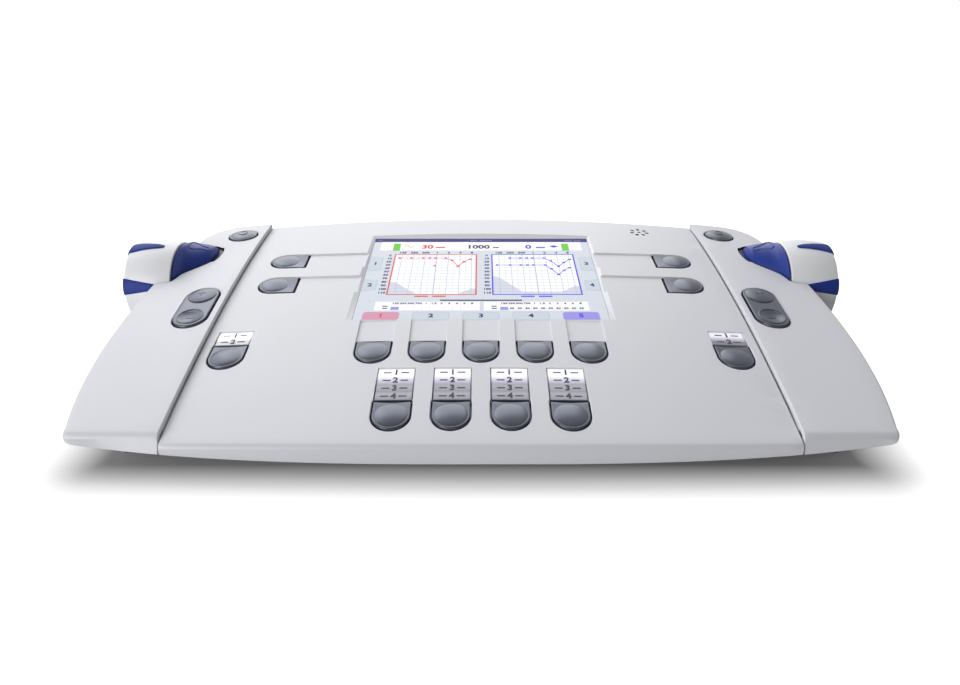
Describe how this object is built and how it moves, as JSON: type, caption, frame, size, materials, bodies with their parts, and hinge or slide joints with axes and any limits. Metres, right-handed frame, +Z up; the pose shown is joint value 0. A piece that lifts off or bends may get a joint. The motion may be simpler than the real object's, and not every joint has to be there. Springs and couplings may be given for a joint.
{
  "type": "diagnostic audiometer",
  "caption": "Desktop diagnostic audiometer: low wedge case with a curved deck, a display, push keys and a turning side drum knob at each end.",
  "frame": {"origin": "centre of the overall box's footprint, on the table under the feet", "axes": "+Z up, +Y to the back (connectors), +X to the user's right"},
  "size_m": [0.3582, 0.195, 0.0546],
  "materials": {
    "cover_plastic": "satin",
    "tub_plastic": "matt",
    "key_plastic": "satin",
    "label_plastic": "gloss",
    "blue_plastic": "satin",
    "blue_rubber": "satin",
    "knob_plastic": "satin",
    "black_plastic": "matt",
    "board_laminate": "satin",
    "mat_rubber": "matt",
    "window_glass": "gloss",
    "foot_rubber": "matt",
    "metal": "brushed"
  },
  "bodies": {
    "case": {"base_tub": "tub_plastic", "centre_deck": "cover_plastic", "data_socket": "metal", "deck_screw_front_left": "metal", "deck_screw_front_right": "metal", "deck_screw_rear_left": "metal", "deck_screw_rear_right": "metal", "display_panel": "black_plastic", "display_window": "window_glass", "encoder_left": "metal", "encoder_right": "metal", "foot_front_left": "foot_rubber", "foot_front_right": "foot_rubber", "foot_rear_left": "foot_rubber", "foot_rear_right": "foot_rubber", "key_board": "board_laminate", "key_mat": "mat_rubber", "main_board": "board_laminate", "mode_label_1": "label_plastic", "mode_label_2": "label_plastic", "mode_label_3": "label_plastic", "mode_label_4": "label_plastic", "monitor_speaker": "black_plastic", "power_inlet": "black_plastic", "rear_jack_strip": "black_plastic", "talk_label_left": "label_plastic", "talk_label_right": "label_plastic", "wing_board_left": "board_laminate", "wing_board_right": "board_laminate", "wing_cover_left": "cover_plastic", "wing_cover_right": "cover_plastic", "wing_screw_left": "metal", "wing_screw_right": "metal"},
    "soft_key_1": {"soft_key_1": "key_plastic"},
    "soft_key_2": {"soft_key_2": "key_plastic"},
    "soft_key_3": {"soft_key_3": "key_plastic"},
    "soft_key_4": {"soft_key_4": "key_plastic"},
    "soft_key_5": {"soft_key_5": "key_plastic"},
    "mode_key_1": {"mode_key_1": "key_plastic"},
    "mode_key_2": {"mode_key_2": "key_plastic"},
    "mode_key_3": {"mode_key_3": "key_plastic"},
    "mode_key_4": {"mode_key_4": "key_plastic"},
    "talk_key_left": {"talk_key_left": "key_plastic"},
    "side_key_upper_left": {"side_key_upper_left": "key_plastic"},
    "side_key_lower_left": {"side_key_lower_left": "key_plastic"},
    "talk_key_right": {"talk_key_right": "key_plastic"},
    "side_key_upper_right": {"side_key_upper_right": "key_plastic"},
    "side_key_lower_right": {"side_key_lower_right": "key_plastic"},
    "round_key_left": {"round_key_left": "key_plastic"},
    "stimulus_key_left": {"stimulus_key_left": "blue_plastic"},
    "rocker_key_left": {"rocker_key_left": "key_plastic"},
    "attenuator_left": {"knob_left": "knob_plastic", "knob_grip_left": "blue_rubber", "encoder_shaft_left": "metal"},
    "round_key_right": {"round_key_right": "key_plastic"},
    "stimulus_key_right": {"stimulus_key_right": "blue_plastic"},
    "rocker_key_right": {"rocker_key_right": "key_plastic"},
    "attenuator_right": {"knob_right": "knob_plastic", "knob_grip_right": "blue_rubber", "encoder_shaft_right": "metal"}
  },
  "joints": [
    {"name": "soft_key_1_press", "type": "slide", "parent": "case", "child": "soft_key_1", "axis": [0, 0.2116, -0.9774], "range_m": [0, 0.0012], "stiffness_N_per_m": 400},
    {"name": "soft_key_2_press", "type": "slide", "parent": "case", "child": "soft_key_2", "axis": [0, 0.2116, -0.9774], "range_m": [0, 0.0012], "stiffness_N_per_m": 400},
    {"name": "soft_key_3_press", "type": "slide", "parent": "case", "child": "soft_key_3", "axis": [0, 0.2116, -0.9774], "range_m": [0, 0.0012], "stiffness_N_per_m": 400},
    {"name": "soft_key_4_press", "type": "slide", "parent": "case", "child": "soft_key_4", "axis": [0, 0.2116, -0.9774], "range_m": [0, 0.0012], "stiffness_N_per_m": 400},
    {"name": "soft_key_5_press", "type": "slide", "parent": "case", "child": "soft_key_5", "axis": [0, 0.2116, -0.9774], "range_m": [0, 0.0012], "stiffness_N_per_m": 400},
    {"name": "mode_key_1_press", "type": "slide", "parent": "case", "child": "mode_key_1", "axis": [0, 0.2116, -0.9774], "range_m": [0, 0.0012], "stiffness_N_per_m": 400},
    {"name": "mode_key_2_press", "type": "slide", "parent": "case", "child": "mode_key_2", "axis": [0, 0.2116, -0.9774], "range_m": [0, 0.0012], "stiffness_N_per_m": 400},
    {"name": "mode_key_3_press", "type": "slide", "parent": "case", "child": "mode_key_3", "axis": [0, 0.2116, -0.9774], "range_m": [0, 0.0012], "stiffness_N_per_m": 400},
    {"name": "mode_key_4_press", "type": "slide", "parent": "case", "child": "mode_key_4", "axis": [0, 0.2116, -0.9774], "range_m": [0, 0.0012], "stiffness_N_per_m": 400},
    {"name": "talk_key_left_press", "type": "slide", "parent": "case", "child": "talk_key_left", "axis": [0, 0.2116, -0.9774], "range_m": [0, 0.0012], "stiffness_N_per_m": 400},
    {"name": "side_key_upper_left_press", "type": "slide", "parent": "case", "child": "side_key_upper_left", "axis": [0, 0.2116, -0.9774], "range_m": [0, 0.0012], "stiffness_N_per_m": 400},
    {"name": "side_key_lower_left_press", "type": "slide", "parent": "case", "child": "side_key_lower_left", "axis": [0, 0.2116, -0.9774], "range_m": [0, 0.0012], "stiffness_N_per_m": 400},
    {"name": "talk_key_right_press", "type": "slide", "parent": "case", "child": "talk_key_right", "axis": [0, 0.2116, -0.9774], "range_m": [0, 0.0012], "stiffness_N_per_m": 400},
    {"name": "side_key_upper_right_press", "type": "slide", "parent": "case", "child": "side_key_upper_right", "axis": [0, 0.2116, -0.9774], "range_m": [0, 0.0012], "stiffness_N_per_m": 400},
    {"name": "side_key_lower_right_press", "type": "slide", "parent": "case", "child": "side_key_lower_right", "axis": [0, 0.2116, -0.9774], "range_m": [0, 0.0012], "stiffness_N_per_m": 400},
    {"name": "round_key_left_press", "type": "slide", "parent": "case", "child": "round_key_left", "axis": [0, 0.1665, -0.986], "range_m": [0, 0.0012], "stiffness_N_per_m": 400},
    {"name": "stimulus_key_left_press", "type": "slide", "parent": "case", "child": "stimulus_key_left", "axis": [0, 0.1665, -0.986], "range_m": [0, 0.0012], "stiffness_N_per_m": 400},
    {"name": "rocker_key_left_rock", "type": "hinge", "parent": "case", "child": "rocker_key_left", "pos_m": [-0.132, -0.0089, 0.03284], "axis": [1, 0, 0], "range_deg": [-4, 4], "stiffness_Nm_per_rad": 0.06},
    {"name": "attenuator_left_turn", "type": "hinge", "parent": "case", "child": "attenuator_left", "pos_m": [-0.154, 0.0382, 0.0318], "axis": [-0.9998, 0.0174, 0], "continuous": true},
    {"name": "round_key_right_press", "type": "slide", "parent": "case", "child": "round_key_right", "axis": [0, 0.1665, -0.986], "range_m": [0, 0.0012], "stiffness_N_per_m": 400},
    {"name": "stimulus_key_right_press", "type": "slide", "parent": "case", "child": "stimulus_key_right", "axis": [0, 0.1665, -0.986], "range_m": [0, 0.0012], "stiffness_N_per_m": 400},
    {"name": "rocker_key_right_rock", "type": "hinge", "parent": "case", "child": "rocker_key_right", "pos_m": [0.132, -0.0089, 0.03284], "axis": [1, 0, 0], "range_deg": [-4, 4], "stiffness_Nm_per_rad": 0.06},
    {"name": "attenuator_right_turn", "type": "hinge", "parent": "case", "child": "attenuator_right", "pos_m": [0.154, 0.0382, 0.0318], "axis": [0.9998, 0.0174, 0], "continuous": true}
  ]
}
